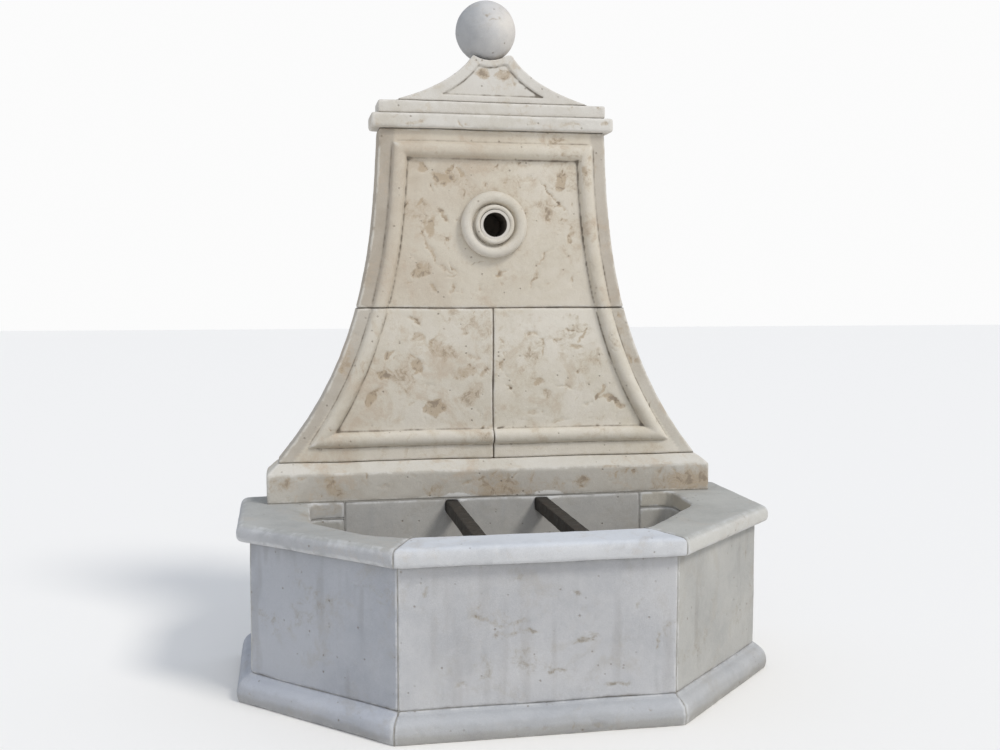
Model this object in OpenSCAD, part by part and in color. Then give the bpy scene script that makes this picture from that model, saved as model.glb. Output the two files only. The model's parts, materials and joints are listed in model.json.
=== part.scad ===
// Stone wall fountain: a half-octagonal basin of jointed stones against a flared backboard of
// three panels, with a plinth, a cornice, a small concave pediment and a ball.
// The back face lies in one plane, and the fountain stands on the ground at z = 0.
// Every module is drawn with the back face at y = 0 and the front towards -y; placed() then
// moves it so that the origin is at the bottom centre of the whole fountain's box.

/* [Basin] */
// Width of the basin's walls
basin_w = 1490; // [1440:10:1540]
// Depth of the basin's walls from the back face
basin_d = 790; // [760:10:820]
// Length of the straight front wall between the two cants
front_len = 742; // [700:2:780]
// Height of the rim above the ground
rim_h = 500; // [480:5:530]
// Height of the moulded base course
base_h = 74; // [66:1:82]
// How far the base course stands out from the walls
base_out = 39; // [34:1:44]
// Thickness of the coping
coping_t = 48; // [42:1:56]
// How far the coping overhangs the walls
coping_out = 36; // [30:1:40]
// Height of the basin's floor above the ground
floor_h = 130; // [120:5:150]

/* [Hollow of the basin] */
// Distance from the front wall's face to the hollow at the rim
rim_front = 118; // [105:1:130]
// The same at the right-hand side wall
rim_right = 168; // [150:2:190]
// The same at the left-hand side wall
rim_left = 168; // [150:2:190]
// Distance from the back face to the hollow at the rim
rim_back = 148; // [140:1:155]
// How much narrower the hollow is at the floor than at the rim, on each side
hollow_taper = 72; // [50:2:90]

/* [Backboard] */
// Thickness of the panels
panel_t = 110; // [95:1:120]
// Half width of the panels at the top
panel_top = 352; // [340:1:365]
// Straight part of the panels' outward flare
flare_line = 53; // [40:1:65]
// Curved part of the flare, which grows with the cube of the depth below the cornice
flare_cube = 260; // [240:1:280]
// Height of the joint between the lower panels and the upper one
joint_z = 1090; // [1040:5:1140]
// Underside of the cornice
cornice_z = 1636; // [1600:2:1670]
// Half width of the plinth course
plinth_half = 701; // [690:1:712]
// Top of the plinth course
plinth_top = 617; // [605:1:630]
// Depth of the plinth course
plinth_d = 150; // [144:1:158]
// How far the plinth's chamfer runs in from its face
chamfer_in = 34; // [24:1:36]
// Height of the plinth's chamfer
chamfer_h = 29; // [20:1:35]

/* [Moulded frame on the panels] */
// Width of the flat border outside the bead
border_w = 42; // [36:1:48]
// Width of the half-round bead
bead_w = 44; // [36:1:50]
// How far the bead stands out of the border
bead_h = 18; // [12:1:22]
// Depth of the field inside the bead
field_deep = 4; // [2:1:8]

/* [Cornice, pediment and ball] */
// Half width of the cornice slab
slab_half = 377; // [368:1:386]
// Depth of the cornice slab
slab_d = 130; // [122:1:138]
// Height of the cornice slab
slab_h = 42; // [36:1:48]
// Half width of the cap on the slab
cap_half = 355; // [345:1:365]
// Depth of the cap
cap_d = 112; // [106:1:120]
// Height of the cap
cap_h = 37; // [32:1:42]
// Half width of the pediment at its foot
gable_half = 300; // [280:5:320]
// Height over which the pediment's half width falls to 0.37 of its value
gable_decay = 88.5; // [80:0.5:96]
// Height of the pediment
gable_h = 143; // [130:1:150]
// Depth of the pediment
gable_d = 104; // [96:1:106]
// Radius of the ball
ball_r = 96; // [86:1:104]
// How deep the ball sits below the top of the pediment
ball_sunk = 14; // [10:1:18]
// How far the ball sits off the centre line
ball_x = -10; // [-14:1:14]

/* [Spout] */
// Height of the spout's centre
spout_z = 1347; // [1300:1:1400]
// Radius of the spout's bore
spout_r = 37.5; // [30:0.5:38]
// Outer radius of the rosette
rosette_r = 103; // [98:1:108]
// Thickness of the wall that closes the spout's socket at the back
socket_wall = 12; // [8:1:20]
// Radius of the supply pipe's hole in that wall
inlet_r = 10.5; // [8:0.5:11]
// How far that hole lies left of the spout's centre, and below it
inlet_off = 17; // [12:1:18]

/* [Iron bars] */
// Side of the square bars
bar_side = 40; // [34:1:42]
// Place of the left bar's centre line
bar_left_x = -138; // [-150:1:-125]
// Place of the right bar's centre line
bar_right_x = 146; // [130:1:155]
// How far the bars run into the stone at each end
bar_let_in = 48; // [30:2:60]
// Height of the bars' undersides above the underside of the coping
bar_rise = 4; // [2:1:6]

/* [Joints and fixings] */
// Thickness of the mortar joints
joint_t = 3; // [2:0.5:4]
// How far the mortar stays back from the stone's face
joint_back = 2; // [1:0.5:5]
// Diameter of the dowels
dowel_d = 16; // [12:1:18]
// Radial room round the dowels
dowel_room = 0.5; // [0.3:0.1:1]

/* [Waste] */
// Distance of the waste from the back face
waste_y = 400; // [380:5:420]
// Outer radius of the waste's pipe
waste_r = 26; // [25:0.5:28]
// Radius of the waste's bore below the plug
waste_bore_r = 19; // [17:0.5:20]
// Radius of the plug's seat at the top of the waste
seat_r = 22; // [21:0.5:23]
// Radius of the waste's flange
flange_r = 42; // [38:1:46]

/* [Hidden] */

warm_stone = "#d3cabb";
cool_stone = "#b9bcbd";
mortar_grey = "#6f675b";
iron_black = "#3a332d";
brass_gold = "#b08d4a";
rubber_black = "#26262a";

W = basin_w / 2;
D = basin_d;
F = front_len / 2;
R = D - (W - F);              // the cants lie at 45 degrees
cant_tan = tan(22.5);         // a point d inside both faces of a corner lies d * cant_tan along them
ball_back = ball_r - gable_d / 2;    // how far the ball stands out behind the back face
reach = 400;                  // longer than any stone is thick
over = 60;                    // how far cutting shapes run past the stones
hairline = 0.2;               // between two strips of mortar

wall_z = base_h + joint_t;
coping_z = rim_h - coping_t;
wall_top = coping_z - joint_t;
plinth_z = rim_h + joint_t;
panel_z = plinth_top + joint_t;
slab_z = cornice_z + joint_t;
cap_z = slab_z + slab_h + joint_t;
gable_z = cap_z + cap_h + joint_t;
ball_z = gable_z + gable_h - ball_sunk + ball_r;
field_y = panel_t - field_deep;

floor_front = rim_front + hollow_taper;
floor_right = rim_right + 1.5 * hollow_taper;
floor_left = rim_left + 1.5 * hollow_taper;
floor_back = rim_back + 0.6 * hollow_taper;

// ---------------------------------------------------------------- helpers

// Moves a shape from the back-face frame to the part's own frame
module placed() {
    translate([0, (D + base_out - ball_back) / 2, 0]) children();
}

// Points of an arc round a centre, both ends included
function arc(centre, r, from, to, steps = 6) = [
    for (i = [0:steps])
        let (a = from + (to - from) * i / steps)
        centre + r * [cos(a), sin(a)]
];

function blend(a, b, t) = a + (b - a) * t;

// Draws a 2D shape of (x, z) as a solid between two depths in front of the back face
module upright(depth_from, depth_to) {
    translate([0, -depth_from, 0])
        rotate([90, 0, 0])
            linear_extrude(depth_to - depth_from) children();
}

// Skins a list of closed rings of points into one solid, with end caps or joined end to end
module skin(rings, closed = false) {
    n = len(rings[0]);
    m = len(rings);
    spans = closed ? m : m - 1;
    sides = [
        for (i = [0:spans - 1], j = [0:n - 1])
            let (
                a = i * n + j,
                b = i * n + (j + 1) % n,
                c = ((i + 1) % m) * n + (j + 1) % n,
                d = ((i + 1) % m) * n + j
            )
            each [[a, c, b], [a, d, c]]
    ];
    caps = closed ? [] : [
        [for (j = [0:n - 1]) j],
        [for (j = [n - 1:-1:0]) (m - 1) * n + j]
    ];
    polyhedron(points = [for (r = rings) each r], faces = concat(sides, caps), convexity = 6);
}

// ---------------------------------------------------------------- plan of the basin

// Corners of the outline that lies a given distance inside each wall face, from the
// back left round the front to the back right
function plan_line(left, front, right, back) = [
    [-W + left, -back],
    [-W + left, -R + left * cant_tan],
    [-F + front * cant_tan, -D + front],
    [F - front * cant_tan, -D + front],
    [W - right, -R + right * cant_tan],
    [W - right, -back]
];

outer_line = plan_line(0, 0, 0, 0);
floor_line = plan_line(floor_left, floor_front, floor_right, floor_back);
rim_line = plan_line(rim_left, rim_front, rim_right, rim_back);

// A closed outline with each corner rounded off by a short curve
function softened(pts, cut) = [
    for (i = [0:len(pts) - 1])
        let (
            p = pts[i],
            before = pts[(i + len(pts) - 1) % len(pts)],
            after = pts[(i + 1) % len(pts)],
            a = p + (before - p) * cut / norm(before - p),
            b = p + (after - p) * cut / norm(after - p)
        )
        each [for (t = [0, 0.33, 0.67, 1]) blend(blend(a, p, t), blend(p, b, t), t)]
];

// The water space: steep at the rim, rounding into the flat floor
module hollow() {
    depth = rim_h - floor_h;
    rings = [
        for (v = [1, 0.985, 0.93, 0.82, 0.62, 0.35, 0])
            let (
                inset = 1 - sqrt(1 - v * v),
                line = softened([for (i = [0:5]) blend(rim_line[i], floor_line[i], inset)], 42)
            )
            [for (p = line) [p[0], p[1], rim_h - depth * v]]
    ];
    top = [for (p = rings[len(rings) - 1]) [p[0], p[1], rim_h + over]];
    skin(concat(rings, [top]));
}

// A point outside corner i, on the line of its mitre
function beyond(i) = outer_line[i] + 0.5 * (outer_line[i] - floor_line[i]);

// The wedge between the mitres at corners i and i + 1, as a prism
module between_mitres(i, z, h) {
    translate([0, 0, z])
        linear_extrude(h)
            polygon([beyond(i), beyond(i + 1), floor_line[i + 1], floor_line[i]]);
}

// The wedge of a side wall, which runs square to the back face
module side_wedge(right, z, h) {
    s = right ? 1 : -1;
    corner = right ? 4 : 1;
    inner = right ? 5 : 0;
    translate([0, 0, z])
        linear_extrude(h)
            polygon([
                beyond(corner),
                [s * (W + over * 2), 0],
                [floor_line[inner][0], 0],
                floor_line[inner],
                floor_line[corner]
            ]);
}

// The gap for mortar at corner i
module mitre_gap(i, z, h) {
    p = beyond(i);
    q = floor_line[i];
    translate([p[0], p[1], z])
        rotate([0, 0, atan2(q[1] - p[1], q[0] - p[0])])
            translate([0, -joint_t / 2, 0])
                cube([norm(q - p) + over / 6, joint_t, h]);
}

// The gap for mortar between a side stone and the back stone
module back_gap(right, z, h) {
    x = floor_line[right ? 5 : 0][0];
    translate([x - joint_t / 2, -floor_back - 1, z]) cube([joint_t, floor_back + 1, h]);
}

// Sweeps a profile along outline side i, x inwards from the wall's face and y up
module run(i, mitred_start = true, mitred_end = true) {
    p = outer_line[i];
    q = outer_line[i + 1];
    before = mitred_start ? over : 0;
    after = mitred_end ? over : 0;
    translate([p[0], p[1], 0])
        rotate([0, 0, atan2(q[1] - p[1], q[0] - p[0])])
            translate([-before, 0, 0])
                rotate([90, 0, 90])
                    linear_extrude(norm(q - p) + before + after) children();
}

// ---------------------------------------------------------------- base course

// Rounded moulding with a small fillet against the wall, drawn from the floor up
module base_profile() {
    swell = base_out - 6;
    spring = 24;
    crown = base_h - 8;
    polygon(concat(
        [[reach, 0], [reach, base_h], [-3, base_h], [-6, crown]],
        [for (a = [78:-13:0]) [-6 - swell * cos(a), spring + (crown - spring) * sin(a)]],
        [[-base_out + 1, spring - 12], [-base_out + 5, 0]]
    ));
}

module base_front() {
    color(cool_stone) placed() difference() {
        intersection() {
            run(2) base_profile();
            between_mitres(2, 0, base_h);
        }
        mitre_gap(2, -1, base_h + 2);
        mitre_gap(3, -1, base_h + 2);
    }
}

// A base stone that holds both a cant and its return to the back
module base_side(right) {
    cant = right ? 3 : 1;
    ret = right ? 4 : 0;
    front_corner = right ? 3 : 2;
    color(cool_stone) placed() difference() {
        union() {
            intersection() {
                run(cant) base_profile();
                between_mitres(cant, 0, base_h);
            }
            intersection() {
                run(ret, right, !right) base_profile();
                side_wedge(right, 0, base_h);
            }
        }
        mitre_gap(front_corner, -1, base_h + 2);
        back_gap(right, -1, base_h + 2);
    }
}

module base_left() { base_side(false); }
module base_right() { base_side(true); }

// ---------------------------------------------------------------- basin walls

wall_h = wall_top - wall_z;

module wall_block(i, first_gap, last_gap) {
    color(cool_stone) placed() difference() {
        translate([0, 0, wall_z])
            linear_extrude(wall_h)
                polygon([outer_line[i], outer_line[i + 1], floor_line[i + 1], floor_line[i]]);
        mitre_gap(first_gap, wall_z - 1, wall_h + 2);
        mitre_gap(last_gap, wall_z - 1, wall_h + 2);
        hollow();
        cramps(dowel_room);
    }
}

module wall_return(right) {
    corner = right ? 4 : 1;
    inner = right ? 5 : 0;
    color(cool_stone) placed() difference() {
        translate([0, 0, wall_z])
            linear_extrude(wall_h)
                polygon([
                    outer_line[corner], outer_line[inner], [floor_line[inner][0], 0],
                    floor_line[inner], floor_line[corner]
                ]);
        mitre_gap(corner, wall_z - 1, wall_h + 2);
        back_gap(right, wall_z - 1, wall_h + 2);
        hollow();
        cramps(dowel_room);
    }
}

module wall_front() { wall_block(2, 2, 3); }
module wall_cant_left() { wall_block(1, 1, 2); }
module wall_cant_right() { wall_block(3, 3, 4); }
module wall_return_left() { wall_return(false); }
module wall_return_right() { wall_return(true); }

// The back wall stands between the side stones, from the ground to the plinth's bed joint
module wall_back() {
    color(cool_stone) placed() difference() {
        linear_extrude(rim_h)
            polygon([[floor_line[0][0], 0], floor_line[0], floor_line[5], [floor_line[5][0], 0]]);
        back_gap(false, -1, rim_h + 2);
        back_gap(true, -1, rim_h + 2);
        hollow();
        bar_at(bar_left_x);
        bar_at(bar_right_x);
        cramps(dowel_room);
    }
}

recess_r = 60;    // the room under the floor for the waste's nut
recess_h = 45;
flange_h = 6;

module basin_floor() {
    gap = joint_t;
    line = plan_line(floor_left + gap, floor_front + gap, floor_right + gap, floor_back + gap);
    color(cool_stone) placed() difference() {
        linear_extrude(floor_h) polygon(line);
        translate([0, -waste_y, 0]) {
            translate([0, 0, -1]) cylinder(h = floor_h + 2, r = waste_r + 1, $fn = 96);
            translate([0, 0, -1]) cylinder(h = recess_h + 1, r = recess_r, $fn = 96);
            translate([0, 0, floor_h - flange_h])
                cylinder(h = flange_h + 1, r = flange_r + 1, $fn = 96);
        }
    }
}

// ---------------------------------------------------------------- coping

// Round-edged rim stone: the upper arris is rounder than the lower one
module coping_profile() {
    top_r = 20;
    low_r = 14;
    x = -coping_out;
    polygon(concat(
        [[reach, coping_z], [reach, rim_h]],
        arc([x + top_r, rim_h - top_r], top_r, 90, 180),
        arc([x + low_r, coping_z + low_r], low_r, 180, 270)
    ));
}

module coping_front() {
    color(cool_stone) placed() difference() {
        intersection() {
            run(2) coping_profile();
            between_mitres(2, coping_z, coping_t);
        }
        mitre_gap(2, coping_z - 1, coping_t + 2);
        mitre_gap(3, coping_z - 1, coping_t + 2);
        hollow();
        bar_at(bar_left_x);
        bar_at(bar_right_x);
    }
}

// A rim stone that holds both a cant and its return, and runs under the plinth
module coping_side(right) {
    cant = right ? 3 : 1;
    ret = right ? 4 : 0;
    front_corner = right ? 3 : 2;
    color(cool_stone) placed() difference() {
        union() {
            intersection() {
                run(cant) coping_profile();
                between_mitres(cant, coping_z, coping_t);
            }
            intersection() {
                run(ret, right, !right) coping_profile();
                side_wedge(right, coping_z, coping_t);
            }
        }
        mitre_gap(front_corner, coping_z - 1, coping_t + 2);
        back_gap(right, coping_z - 1, coping_t + 2);
        hollow();
        cramps(dowel_room);
    }
}

module coping_left() { coping_side(false); }
module coping_right() { coping_side(true); }

// ---------------------------------------------------------------- iron bars

// The bars are let into the back wall and into the front stone of the coping
module bar_at(x) {
    from = rim_back - bar_let_in;
    to = D - rim_front + bar_let_in;
    translate([x - bar_side / 2, -to, coping_z + bar_rise]) cube([bar_side, to - from, bar_side]);
}

module bar_left() { color(iron_black) placed() bar_at(bar_left_x); }
module bar_right() { color(iron_black) placed() bar_at(bar_right_x); }

// ---------------------------------------------------------------- backboard

// The chamfer runs along the front and round both ends
module backboard_plinth() {
    low = plinth_top - chamfer_h;
    color(warm_stone) placed() difference() {
        intersection() {
            translate([-plinth_half, 0, 0])
                rotate([90, 0, 90])
                    linear_extrude(2 * plinth_half)
                        polygon([
                            [0, plinth_z], [0, plinth_top], [chamfer_in - plinth_d, plinth_top],
                            [-plinth_d, low], [-plinth_d, plinth_z]
                        ]);
            upright(0, plinth_d)
                polygon([
                    [-plinth_half, plinth_z], [-plinth_half, low],
                    [chamfer_in - plinth_half, plinth_top], [plinth_half - chamfer_in, plinth_top],
                    [plinth_half, low], [plinth_half, plinth_z]
                ]);
        }
        all_dowels(dowel_room);
    }
}

panel_drop = cornice_z - panel_z;

// Half width of the panels at height z
function panel_half(z) =
    let (t = (cornice_z - z) / panel_drop)
    panel_top + flare_line * t + flare_cube * pow(t, 3);

// How fast that half width grows downwards
function panel_slope(z) =
    let (t = (cornice_z - z) / panel_drop)
    (flare_line + 3 * flare_cube * t * t) / panel_drop;

// The line that stays a given distance inside the panels' curved edge
function inside_edge(z, d) = panel_half(z) - d * sqrt(1 + pow(panel_slope(z), 2));

// The line of the panels' edge, or of a frame inside it, up the right-hand side
function edge_points(d, low, high, steps = 16) = [
    for (i = [0:steps])
        let (z = blend(low, high, i / steps))
        [inside_edge(z, d), z]
];

// The whole outline at a distance inside the edge
function framed(d, low, high) =
    let (right = edge_points(d, low, high))
    concat(right, [for (i = [len(right) - 1:-1:0]) [-right[i][0], right[i][1]]]);

bead_mid = border_w + bead_w / 2;
bead_low = panel_z + bead_mid + 3;
bead_high = cornice_z - bead_mid + 3;

// The half-round bead as one closed ring with mitred corners
module bead() {
    path = framed(bead_mid, bead_low, bead_high);
    n = len(path);
    rings = [
        for (i = [0:n - 1])
            let (
                along_in = (path[i] - path[(i + n - 1) % n]) / norm(path[i] - path[(i + n - 1) % n]),
                along_out = (path[(i + 1) % n] - path[i]) / norm(path[(i + 1) % n] - path[i]),
                sum = along_in + along_out,
                side = [sum[1], -sum[0]] / norm(sum),
                stretch = 1 / max(0.3, along_in * (sum / norm(sum)))
            )
            concat(
                [for (a = [180:-22.5:0])
                    let (q = path[i] + side * stretch * bead_w / 2 * cos(a))
                    [q[0], -panel_t - bead_h * sin(a), q[1]]],
                [for (s = [1, -1])
                    let (q = path[i] + side * stretch * s * bead_w / 2)
                    [q[0], 12 - panel_t, q[1]]]
            )
    ];
    skin(rings, true);
}

// The three panels before they are parted: slab, bead and sunk field
module panel_blank() {
    difference() {
        union() {
            upright(0, panel_t) polygon(framed(0, panel_z, cornice_z));
            bead();
        }
        upright(field_y, panel_t + 1)
            polygon(framed(bead_mid + bead_w / 2 - 2, bead_low + bead_w / 2 - 2,
                bead_high - bead_w / 2 + 2));
    }
}

// The part of the panels inside a window of x and z
module panel(x_from, x_to, z_from, z_to) {
    intersection() {
        panel_blank();
        translate([x_from, -panel_t - over, z_from])
            cube([x_to - x_from, panel_t + over + 1, z_to - z_from]);
    }
}

lower_top = joint_z - joint_t / 2;
upper_low = joint_z + joint_t / 2;
far = W + over;

module lower_panel(right) {
    color(warm_stone) placed() difference() {
        panel(right ? joint_t / 2 : -far, right ? far : -joint_t / 2, panel_z, lower_top);
        all_dowels(dowel_room);
    }
}

module lower_panel_left() { lower_panel(false); }
module lower_panel_right() { lower_panel(true); }

sleeve_r = spout_r + 8.5;

module upper_panel() {
    color(warm_stone) placed() difference() {
        panel(-far, far, upper_low, cornice_z);
        translate([0, 1, spout_z])
            rotate([90, 0, 0]) cylinder(h = panel_t + 2, r = sleeve_r + 1, $fn = 96);
        all_dowels(dowel_room);
    }
}

// ---------------------------------------------------------------- spout

ring_r = 18;           // section of the outer ring
inner_ring_r = 6.5;    // section of the inner ring's crown
rosette_foot = 12;
rosette_out = 38;
lip_back = 3;          // the sleeve's lip lies this far behind the crown

// Drawn as radius against height above the field, then turned to face the front
module rosette_profile() {
    ring_mid = rosette_r - ring_r;
    inner_mid = sleeve_r + 1 + inner_ring_r;
    difference() {
        union() {
            translate([sleeve_r + 1, 0]) square([rosette_r - 4 - sleeve_r - 1, rosette_foot]);
            translate([ring_mid, rosette_foot]) circle(r = ring_r, $fn = 64);
            translate([sleeve_r + 1, 0])
                square([2 * inner_ring_r, rosette_out - inner_ring_r]);
            translate([inner_mid, rosette_out - inner_ring_r]) circle(r = inner_ring_r, $fn = 48);
        }
        translate([0, -reach]) square([reach, reach]);
    }
}

module spout_rosette() {
    color(warm_stone) placed()
        translate([0, -field_y, spout_z])
            rotate([90, 0, 0]) rotate_extrude($fn = 96) rosette_profile();
}

// The socket for the spout. Its lip stands just inside the rosette's crown.
module spout_sleeve() {
    depth = field_y + rosette_out - lip_back;
    color(warm_stone) placed()
        translate([0, 0, spout_z])
            rotate([90, 0, 0]) difference() {
                cylinder(h = depth, r = sleeve_r, $fn = 96);
                translate([0, 0, socket_wall]) cylinder(h = depth, r = spout_r, $fn = 96);
                translate([-inlet_off, -inlet_off, -1])
                    cylinder(h = socket_wall + 2, r = inlet_r, $fn = 64);
            }
}

// ---------------------------------------------------------------- cornice, pediment, ball

module block(half, depth, z, h) {
    translate([-half, -depth, z]) cube([2 * half, depth, h]);
}

module cornice_slab() {
    color(warm_stone) placed() difference() {
        block(slab_half, slab_d, slab_z, slab_h);
        all_dowels(dowel_room);
    }
}

module cornice_cap() {
    color(warm_stone) placed() difference() {
        block(cap_half, cap_d, cap_z, cap_h);
        all_dowels(dowel_room);
    }
}

function gable_at(z) = gable_half * exp(-(z - gable_z) / gable_decay);

// The gable's outline, or one that stays a given distance inside its curved edge
function gable_line(d, low, high, steps = 14) =
    let (right = [
        for (i = [0:steps])
            let (z = blend(low, high, i / steps), x = gable_at(z))
            [x - d * sqrt(1 + pow(x / gable_decay, 2)), z]
    ])
    concat(right, [for (i = [steps:-1:0]) [-right[i][0], right[i][1]]]);

band_w = 27;           // the raised band along the gable's edge
collar_w = 20;         // the band that dips round the ball
ball_room = 2;         // the seat's room round the ball
gable_field = 5;       // how deep the field inside the band lies

module pediment() {
    color(warm_stone) placed() difference() {
        upright(0, gable_d) polygon(gable_line(0, gable_z, gable_z + gable_h));
        upright(gable_d - gable_field, gable_d + 1) difference() {
            polygon(gable_line(band_w, gable_z + 17, gable_z + gable_h - 26));
            translate([ball_x, ball_z]) circle(r = ball_r + collar_w, $fn = 96);
        }
        translate([ball_x, 1, ball_z])
            rotate([90, 0, 0]) cylinder(h = gable_d + 2, r = ball_r + ball_room, $fn = 96);
        translate([ball_x, -gable_d / 2, ball_z - ball_r - dowel_l / 2 - 2])
            cylinder(h = dowel_l / 2 + 4, r = dowel_d / 2 + dowel_room, $fn = 48);
        all_dowels(dowel_room);
    }
}

module ball_finial() {
    color(warm_stone) placed() translate([ball_x, -gable_d / 2, ball_z]) difference() {
        sphere(r = ball_r, $fn = 96);
        translate([0, 0, -ball_r - 1])
            cylinder(h = dowel_l / 2 + 3, r = dowel_d / 2 + dowel_room, $fn = 48);
    }
}

module finial_dowel() {
    color(brass_gold) placed()
        translate([ball_x, -gable_d / 2, ball_z - ball_r - dowel_l / 2])
            cylinder(h = dowel_l, r = dowel_d / 2, $fn = 48);
}

// ---------------------------------------------------------------- dowels and cramps

dowel_l = 80;          // between the plinth and the panels, and in the ball
top_dowel_l = 60;      // up into the cornice slab
gable_dowel_l = 50;    // between the cap and the pediment
foot_dowels = [-460, -180, 180, 460];
waist_dowels = [-300, -120, 120, 300];
top_dowels = [-240, 240];
gable_dowels = [-130, 130];

// Upright dowels across a bed joint, or with room, the holes for them
module dowel_row(z, places, length, room = 0) {
    h = length + 4 * room;
    for (x = places)
        translate([x, -panel_t / 2, z - joint_t / 2 - h / 2])
            cylinder(h = h, r = dowel_d / 2 + room, $fn = 48);
}

module all_dowels(room = 0) {
    dowel_row(panel_z, foot_dowels, dowel_l, room);
    dowel_row(joint_z + joint_t / 2, waist_dowels, dowel_l, room);
    dowel_row(slab_z, top_dowels, top_dowel_l, room);
    dowel_row(gable_z, gable_dowels, gable_dowel_l, room);
}

module panel_dowels() {
    color(brass_gold) placed() all_dowels();
}

cramp_l = 120;
cramp_w = 22;
cramp_t = 6;
cramp_leg = 24;

// A flat cramp with two turned-down legs, lying along x with the middle of its top at the
// origin, or with room, the pocket for it, open at the top
module cramp(room) {
    l = cramp_l + 2 * room;
    w = cramp_w + 2 * room;
    t = cramp_t + 2 * room;
    top = room > 0 ? 1 : 0;
    translate([-l / 2, -w / 2, -cramp_t - room]) cube([l, w, cramp_t + room + top]);
    for (s = [-1, 1])
        translate([s * (cramp_l - cramp_t) / 2 - t / 2, -w / 2, -cramp_leg - room])
            cube([t, w, cramp_leg + room + top]);
}

// Cramps across the four mitres in the tops of the walls, and across the two back joints under
// the plinth
module cramps(room = 0) {
    for (i = [1:4]) {
        p = blend(outer_line[i], floor_line[i], 0.3);
        q = floor_line[i] - outer_line[i];
        translate([p[0], p[1], wall_top]) rotate([0, 0, atan2(q[1], q[0]) + 90]) cramp(room);
    }
    for (i = [0, 5])
        translate([floor_line[i][0], -rim_back / 2, rim_h]) cramp(room);
}

module wall_cramps() {
    color(brass_gold) placed() cramps();
}

// ---------------------------------------------------------------- mortar

// The mitre joints of one course, kept a little behind the stone's face. The child is the
// course's profile.
module mitre_mortar(corners, z, h) {
    for (i = corners)
        difference() {
            intersection() {
                mitre_gap(i, z, h);
                union() {
                    run(i - 1) translate([joint_back, 0]) children();
                    run(i) translate([joint_back, 0]) children();
                }
                translate([0, 0, z]) linear_extrude(h) polygon(outer_wide);
            }
            translate([0, 0, z - 1]) linear_extrude(h + 2) polygon(floor_line);
        }
}

outer_wide = plan_line(-over, -over, -over, 0);

// The strips of mortar are laid one after another, with a hairline between them
module basin_mortar() {
    wall_low = wall_z + hairline;
    wall_part = wall_h - 2 * hairline;
    coping_low = coping_z + hairline;
    color(mortar_grey) placed() difference() {
        union() {
            mitre_mortar([2, 3], 0, base_h - hairline) base_profile();
            mitre_mortar([1:4], wall_low, wall_part) translate([0, wall_z]) square([reach, wall_h]);
            mitre_mortar([2, 3], coping_low, coping_t - hairline) coping_profile();
            bed(base_h);
            bed(wall_top);
            back_mortar(false);
            back_mortar(true);
            floor_mortar();
        }
        hollow();
        cramps(dowel_room);
    }
}

// A bed joint between two courses
module bed(z) {
    g = joint_back;
    side_room = joint_t / 2 + hairline;
    translate([0, 0, z])
        linear_extrude(joint_t) difference() {
            polygon(plan_line(g, g, g, 0));
            polygon(floor_line);
            translate([floor_line[0][0] - side_room, -floor_back])
                square([floor_line[5][0] - floor_line[0][0] + 2 * side_room, floor_back + 1]);
        }
}

// The upright joint beside the back wall
module back_mortar(right) {
    intersection() {
        back_gap(right, 0, rim_h);
        translate([-W, -floor_back, 0]) cube([2 * W, floor_back - joint_back, rim_h]);
    }
}

// The seal between the floor slab and the stones round it
module floor_mortar() {
    linear_extrude(floor_h - 2) difference() {
        floor_plan(hairline);
        floor_plan(joint_t);
    }
}

// The floor's outline, a gap inside the stones round it
module floor_plan(gap) {
    polygon(plan_line(floor_left + gap, floor_front + gap, floor_right + gap, floor_back + gap));
}

module backboard_mortar() {
    g = joint_back;
    color(mortar_grey) placed() difference() {
        union() {
            block(plinth_half - g, plinth_d - g, rim_h, joint_t);
            slice(panel_half(panel_z), plinth_top);
            slice(panel_half(joint_z), joint_z - joint_t / 2);
            slice(panel_top, cornice_z);
            block(cap_half - g, cap_d - g, slab_z + slab_h, joint_t);
            block(gable_half - g, gable_d - g, cap_z + cap_h, joint_t);
            translate([-joint_t / 2, g - field_y, panel_z])
                cube([joint_t, field_y - 2 * g, lower_top - panel_z]);
        }
        all_dowels(dowel_room);
        hollow();
    }
}

// A thin bed between two panels, behind the sunk field's face
module slice(half, z) {
    block(half - joint_back, field_y - joint_back, z, joint_t);
}

// ---------------------------------------------------------------- waste

tail_z = 8;            // the pipe ends a little above the ground
seat_h = 25;
washer_h = 3;
nut_h = 12;
nut_r = 38;
slip = 0.1;            // between the waste's pipe and what goes round it

module at_waste() {
    placed() translate([0, -waste_y, 0]) children();
}

module waste_body() {
    color(brass_gold) at_waste() difference() {
        union() {
            translate([0, 0, tail_z]) cylinder(h = floor_h - tail_z, r = waste_r, $fn = 96);
            translate([0, 0, floor_h - flange_h]) cylinder(h = flange_h, r = flange_r, $fn = 96);
        }
        translate([0, 0, -1]) cylinder(h = floor_h + 2, r = waste_bore_r, $fn = 96);
        translate([0, 0, floor_h - seat_h]) cylinder(h = seat_h + 1, r = seat_r, $fn = 96);
    }
}

module waste_washer() {
    color(rubber_black) at_waste() translate([0, 0, recess_h - washer_h]) difference() {
        cylinder(h = washer_h, r = nut_r, $fn = 96);
        translate([0, 0, -1]) cylinder(h = washer_h + 2, r = waste_r + slip, $fn = 96);
    }
}

module waste_nut() {
    color(brass_gold) at_waste() translate([0, 0, recess_h - washer_h - nut_h]) difference() {
        cylinder(h = nut_h, r = nut_r, $fn = 6);
        translate([0, 0, -1]) cylinder(h = nut_h + 2, r = waste_r + slip, $fn = 96);
    }
}

seal_h = 2;
plug_r = seat_r - 0.4;
plug_tail = seat_h - 5;    // how far the plug reaches into its seat
plug_top_r = 30;
plug_top_h = 6;
stem_r = 5;
stem_h = 12;
knob_r = 9;

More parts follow.
